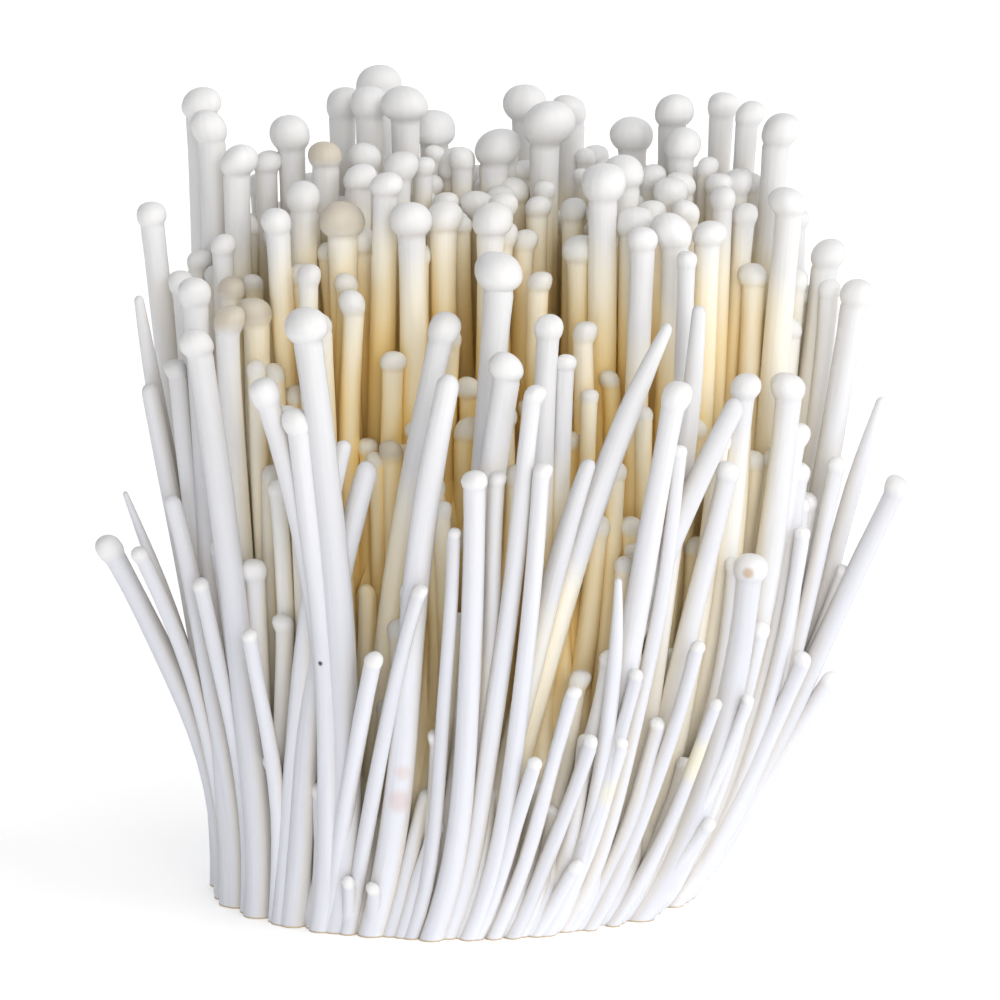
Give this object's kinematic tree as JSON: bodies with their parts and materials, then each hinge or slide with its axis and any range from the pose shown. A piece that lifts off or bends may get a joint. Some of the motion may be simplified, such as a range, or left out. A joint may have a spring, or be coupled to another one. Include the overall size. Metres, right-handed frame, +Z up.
{
  "type": "enoki mushroom bunch",
  "caption": "Dense bunch of slim white mushrooms with small round caps, standing on its flat cut foot.",
  "frame": {"origin": "middle of the flat cut face under the foot", "axes": "+Z up along the stems, +Y away from the viewer of the picture, +X to the viewer's right"},
  "size_m": [0.1155, 0.0813, 0.113],
  "materials": {
    "mushroom_flesh": "moist satin white flesh, cream between the stems"
  },
  "bodies": {
    "root": {"bunch": "mushroom_flesh"}
  },
  "joints": []
}
